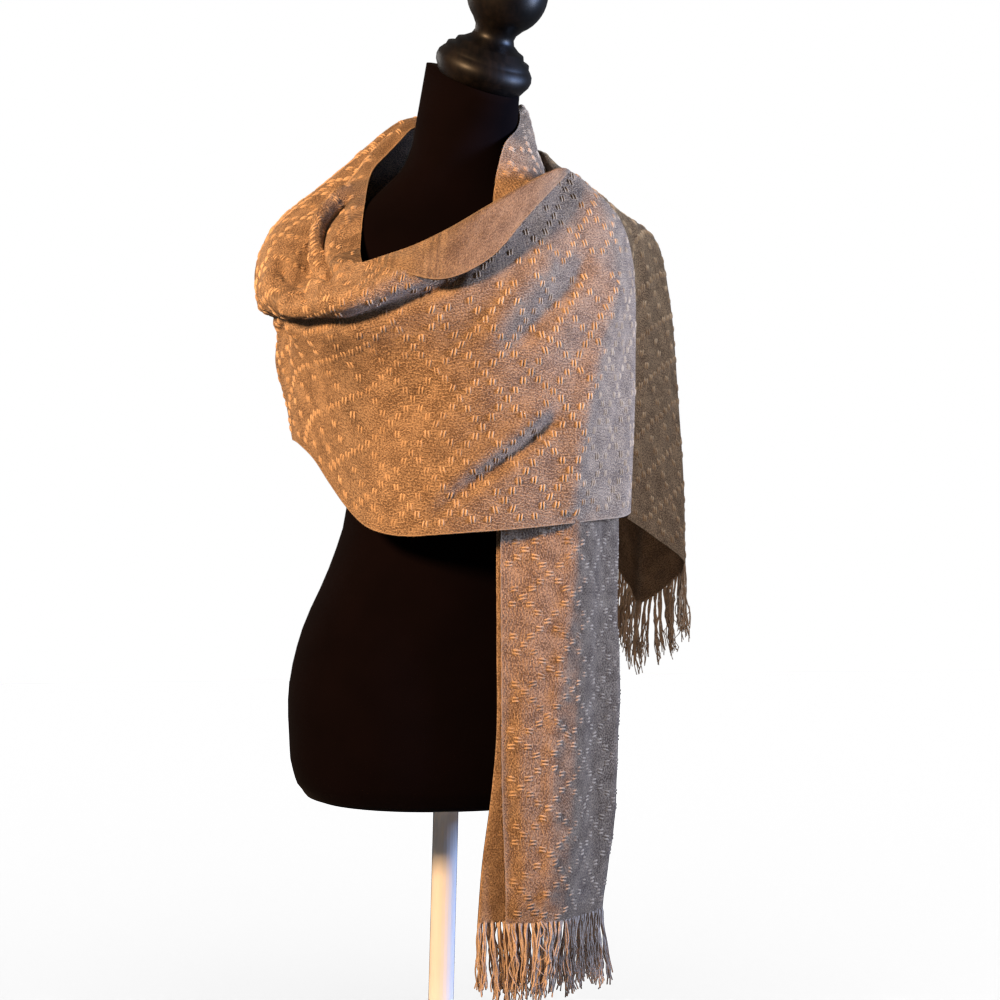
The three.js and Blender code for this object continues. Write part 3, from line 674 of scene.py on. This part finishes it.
loop_folds = [
    [-280, 304, -204, 272, -160, 226, 8, 7, 0.2],
    [-232, 310, -180, 274, -130, 234, -13, 8, 0.2],
    [-222, 194, -184, 203, -146, 224, -13, 11, 0.3],
    [-276, 286, -224, 250, -166, 212, -8, 12, 0.2],
    [-244, 170, -195, 179, -145, 200, 5, 9, 0.3],
    [-440, 270, -420, 160, -400, 40, -5, 15, 0.3],
    [-380, 260, -352, 170, -345, 60, 4, 13, 0.3],
    [-330, 240, -302, 150, -292, 50, -5, 13, 0.3],
    [-262, 170, -240, 110, -230, 20, 4, 12, 0.3],
    [-214, 150, -202, 100, -196, 30, -4, 10, 0.3],
]
back_folds = [
    [-700, 250, -600, 205, -480, 170, -5, 18, 0.3],
    [-690, 180, -600, 140, -490, 80, 4, 16, 0.3],
    [-660, 120, -560, 70, -480, 30, -4, 14, 0.3],
    [-620, 300, -560, 250, -500, 165, 3, 12, 0.3],
    [-540, 240, -530, 150, -522, 40, -4, 14, 0.3],
]
wrap = creases(wrap, whole_u, whole_v, front_folds + loop_folds + back_folds, -1)
whole_u, whole_v = cloth_lengths(wrap, MAP_START)
wrap_weave = [whole_u, whole_v, selvedge_distance(whole_v)]


def wrap_stretch(name, rows, cols):
    """A part of the wrap between two of its lines and two of its columns."""
    window = (slice(*rows), slice(*cols))
    return stretch(
        name, wrap[window], normals(wrap)[window], [part[window] for part in wrap_weave], -1,
    )


last_row, last_col = wrap.shape[:2]
wrap_stretch("scarf_back", (0, BACK_END + 1), (0, last_col))
wrap_stretch("scarf_shoulder", (BACK_END, SHOULDER_END + 1), (0, last_col))
wrap_stretch("scarf_collar", (SHOULDER_END, last_row), (0, TUCK + 1))
wrap_stretch("scarf_front", (SHOULDER_END, last_row), (TUCK, last_col))

# The drop over the left shoulder
# The wrap's end goes on over the shoulder and hangs behind the arm's place. Its hem carries
# the second fringe. Columns: angle, then reach and height of the inner edge, the bend
# beside it, the slope, the brow, the shoulder point, the upper and lower side, and the
# bottom edge.
drop_rows = [
    [53, 110, 882, 108, 884, 126, 874, 146, 856, 160, 830, 171, 780, 175.8, 660, 174.8, 558],
    [60, 105, 887, 103, 890, 126, 880, 149, 862, 165, 838, 173, 780, 175.5, 660, 173.6, 558],
    [67, 101, 890, 100, 894, 126, 885, 152, 867, 170, 846, 178, 780, 176, 660, 172, 558],
    [75, 98, 895, 98, 902, 130, 890, 163, 866, 189, 848, 204, 780, 208, 660, 207, 538],
    [81, 96, 899, 97, 908, 133, 893, 170, 867, 206, 843, 228, 784, 241, 640, 248, 512],
    [87, 95, 904, 97, 914, 133, 895, 170, 866, 204, 840, 227, 782, 240, 640, 246, 492],
    [94, 95, 914, 97, 924, 131, 896, 166, 864, 196, 836, 217, 776, 227, 640, 225, 468],
    [100, 97, 920, 99, 930, 130, 896, 162, 862, 192, 830, 213, 772, 225, 640, 227, 484],
    [107, 101, 934, 102, 934, 129, 896, 158, 858, 182, 820, 196, 765, 204, 650, 208, 530],
    [117, 100, 937, 101, 936, 127, 896, 150, 850, 168, 806, 176, 755, 180, 660, 184, 556],
    [130, 98, 939, 99, 938, 122, 896, 142, 842, 156, 796, 160, 745, 160, 660, 164, 560],
]
drop = loft(drop_rows, [2] * 10, rails_at_angle, [1, 2, 2, 2, 3, 4, 4])
drop_u, drop_v = cloth_lengths(drop, 0)
drop_folds = [
    [40, 330, 60, 200, 52, 20, 3, 12, 0.2],
    [110, 340, 120, 200, 112, 40, -5, 14, 0.2],
    [150, 350, 165, 200, 160, 30, 4, 14, 0.2],
    [215, 340, 225, 220, 250, 60, -5, 15, 0.2],
    [270, 330, 285, 200, 300, 40, 4, 14, 0.2],
]
drop = creases(drop, drop_u, drop_v, drop_folds, -1)
drop_u, drop_v = cloth_lengths(drop, 0)
no_selvedge = np.full(drop_u.shape, 30.0)
drop_cloth = stretch(
    "scarf_drop", drop, normals(drop), [drop_u, drop_v, no_selvedge], -1,
)

# The neck band
# The tail's upper end, gathered narrow, lies beside the neck over the left shoulder. Each
# row has an angle, a reach and a height for its four rails.
band_rows = [
    [0, -9, 102, 812, 6, 108, 815, 22, 110, 817, 40, 114, 818],
    [34, -5, 90, 848, 10, 100, 850, 27, 104, 846, 45, 108, 840],
    [70, 3, 75, 893, 24, 86, 884, 42, 94, 868, 56, 104, 854],
    [98, 16, 62.2, 919, 42, 75, 903, 56, 88, 884, 68, 108, 862],
    [130, 38, 59, 938, 66, 69, 932, 75, 86, 896, 80, 114, 868],
    [165, 70, 55, 962, 88, 68, 966, 91, 84, 922, 93, 116, 876],
    [185, 90, 56, 968, 98, 70, 974, 99, 86, 928, 99, 118, 878],
]


def band_rails(rows):
    """Rail points of rows with an angle, a reach and a height for each rail."""
    return place(rows[:, 1::3], rows[:, 2::3], rows[:, 3::3])


band = loft(band_rows, [2, 3, 3, 3, 3, 2], band_rails, [3, 3, 3])
band_u, band_v = cloth_lengths(band, 0)
stretch(
    "scarf_neck_band", band, normals(band), [band_u, band_v, selvedge_distance(band_v)], -1,
)

# The tail
# The scarf's other end hangs down the front in three pleated layers. Columns: height, the
# front plane's y, x of the selvedge, the crease, the right fold and the left fold behind,
# and how far back the right fold lies.
tail_rows = [
    [808, -108, -6, 44, 84, -2, 14], [785, -119, -9, 50, 96, -5, 20],
    [745, -132, -13, 58, 112, -9, 28], [700, -138, -15, 62, 122, -11, 34],
    [600, -143, -15, 63, 127, -11, 36], [540, -143, -15, 64, 129, -11, 36],
    [440, -143, -12, 64, 129, -8, 36], [340, -143, -9, 63, 128, -6, 36],
    [290, -143, -7, 61, 126, -10, 35], [230, -143, -3, 57, 123, -17, 34],
    [177, -143, 0, 54, 120, -20, 33],
]


def tail_rails(rows):
    """The plan of each row: front layer, right fold, middle layer, left fold, back layer."""
    up, y, selvedge, crease, right, left, back = (rows[:, k] for k in range(7))
    behind, half, layer = 0.5 * (selvedge + crease), 0.5 * (crease + right), 5
    x = [
        selvedge, behind, crease, half, right, right - 3, half, behind, left, left - 3, left,
        crease - 22,
    ]
    deep = [
        y, y - 2, y - 4, y + 0.35 * back, y + back, y + back + layer, y + 0.5 * back + layer,
        y + 1.4 * layer, y + 1.2 * layer, y + 1.6 * layer, y + 2.1 * layer, y + 2.3 * layer,
    ]
    return np.stack([np.stack(part, axis=1) for part in (x, deep, [up] * len(x))], axis=-1)


tail_cells = [3, 4, 4, 3, 2, 2, 4, 2, 1, 1, 3]
tail = loft(tail_rows, [1, 1, 1, 2, 2, 2, 2, 1, 1, 1], tail_rails, tail_cells)
tail_u, tail_v = cloth_lengths(tail, 0)
tail_folds = [
    [10, 330, 300, 328, 660, 330, 5, 24, 0.08],
    [10, 303, 300, 298, 660, 306, 5, 9, 0.05],
    [190, 302, 430, 300, 670, 306, 8, 40, 0.12],
    [330, 209, 490, 209, 650, 209, 7, 15, 0.35],
    [60, 240, 300, 244, 640, 236, -2, 16, 0.1],
    [380, 345, 520, 342, 660, 338, -4, 7, 0.3],
]
tail = creases(tail, tail_u, tail_v, tail_folds, 1, rim=0)
tail_u, tail_v = cloth_lengths(tail, 0)
tail_cloth = stretch(
    "scarf_tail", tail, normals(tail), [tail_u, tail_v, selvedge_distance(tail_v)], 1,
)

# Fringes
# Loose yarn ends under both hems, drawn together in small knots, then frayed, curled and a
# little tangled.
def fringe(name, node, hem, seed):
    """Yarn ends under a hem: locks every 6.2 mm, each of nine thin tubes.

    A tube leaves the hem at its own place and is drawn to the lock's middle at the knot.
    Below, its middle line is the fringe's sway, which grows downwards, then the lock's own
    lean and the tube's, then its curl, a wave of its own phase and pitch. One tube in eight
    strays in a wide loop. The five-sided section swells at the knot and thins to the end.
    """
    drop_length, pitch, sides, levels, yarns, turn = 77, 6.2, 5, 16, 9, 6.28
    end_room, side_room, loose_share, knot_at, overlap = 3, 1.2, 0.125, 0.09, 3
    chance = np.random.default_rng(seed)
    steps = np.linalg.norm(np.diff(hem, axis=0), axis=1)
    ends = np.concatenate([[0], np.cumsum(steps)])
    count = int((ends[-1] - end_room) / pitch) + 1
    at = (ends[-1] - (count - 1) * pitch) / 2 + pitch * np.arange(count)
    own = at[:, None] + chance.uniform(-3.0, 3.0, (count, yarns))
    own = np.clip(own, side_room, ends[-1] - side_room)
    shares = np.array([1, 0.9, 0.97, 0.84, 0.94, 0.88, 1.02])[np.arange(count) % 7]
    length = drop_length * shares[:, None] * chance.uniform(0.84, 1.03, (count, yarns))
    part = np.linspace(0, 1, levels)[None, None, :] ** 1.2
    down = length[..., None] * part
    grown = down / drop_length
    drawn = 0.85 * np.clip(part / 0.1, 0, 1)
    along = own[..., None] * (1 - drawn) + at[:, None, None] * drawn
    root = [np.interp(along, ends, hem[:, c]) for c in range(3)]
    phase = chance.uniform(0, turn, (2, count, yarns, 1))
    wave = down / chance.uniform(18, 42, (count, yarns, 1)) * turn
    loose = chance.random((count, yarns, 1)) < loose_share
    curl = chance.uniform(0.3, 1.8, (count, yarns, 1)) * np.where(loose, 3.0, 1.0)
    curl = curl * np.sqrt(part)
    lock_lean = chance.normal(0, 4.6, (2, count, 1, 1))
    spread = (lock_lean + chance.normal(0, 2.0, (2, count, yarns, 1))) * part
    x = root[0] + 4 * grown * np.sin(root[0] / 23 + 2.2 * grown + 0.7) + spread[0]
    y = root[1] - 3 * grown * np.sin(root[0] / 19 + 1.7 * grown) + 0.7 * spread[1]
    x = x + curl * (np.sin(wave + phase[0]) - np.sin(phase[0]))
    y = y + curl * (np.cos(wave + phase[1]) - np.cos(phase[1]))
    middle = np.stack([x, y, root[2] + overlap - down], axis=-1)
    angle = np.arange(sides) * 2 * math.pi / sides
    thick = 0.72 + 0.5 * np.exp(-(((part - knot_at) / 0.03) ** 2)) - 0.2 * part
    twist = angle[None, None, None, :] + down[..., None] / 4
    ring = np.stack([np.cos(twist), np.sin(twist), 0 * twist], axis=-1)
    points = middle[:, :, :, None, :] + ring * thick[..., None, None]
    one = turned_quads(levels, sides)[:, ::-1]
    tubes = count * yarns
    quads = (one[None] + levels * sides * np.arange(tubes)[:, None, None]).reshape(-1, 4)
    piece = mesh_piece(name, points.reshape(-1, 3), quads, [fringe_yarn])
    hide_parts(node)
    return piece


tail_yarns = fringe("tail_yarns", "fringe_tail", tail[-1], 11)
# The hem of the drop is bare in front of its fifth row.
fringe_from = 8 * FINE
drop_yarns = fringe("drop_yarns", "fringe_drop", drop[fringe_from:, -1], 12)

# The lamps' reach
# The floor is out of the lamps, so it shows no hard shadows, as on a shop picture's white
# ground. Flags keep the window and the near pane off the drop, and the near pane off the
# tail. The skylight and the low glow fall on the drop alone.
drop_parts = [drop_cloth, bpy.data.objects["scarf_drop_floats"], drop_yarns]
tail_parts = [tail_cloth, bpy.data.objects["scarf_tail_floats"], tail_yarns]
others = [
    piece for piece in bpy.data.objects
    if piece.type == "MESH" and piece != floor and piece not in drop_parts
]
for holder, flagged in (
    (warm, []), (window, drop_parts), (pane, tail_parts + drop_parts), (rim, []),
    (sky, others), (glow, others),
):
    shade = bpy.data.collections.new(holder.name + "_shade")
    for piece in [floor] + flagged:
        shade.objects.link(piece)
    for member in shade.collection_objects:
        member.light_linking.link_state = "EXCLUDE"
    holder.light_linking.receiver_collection = shade
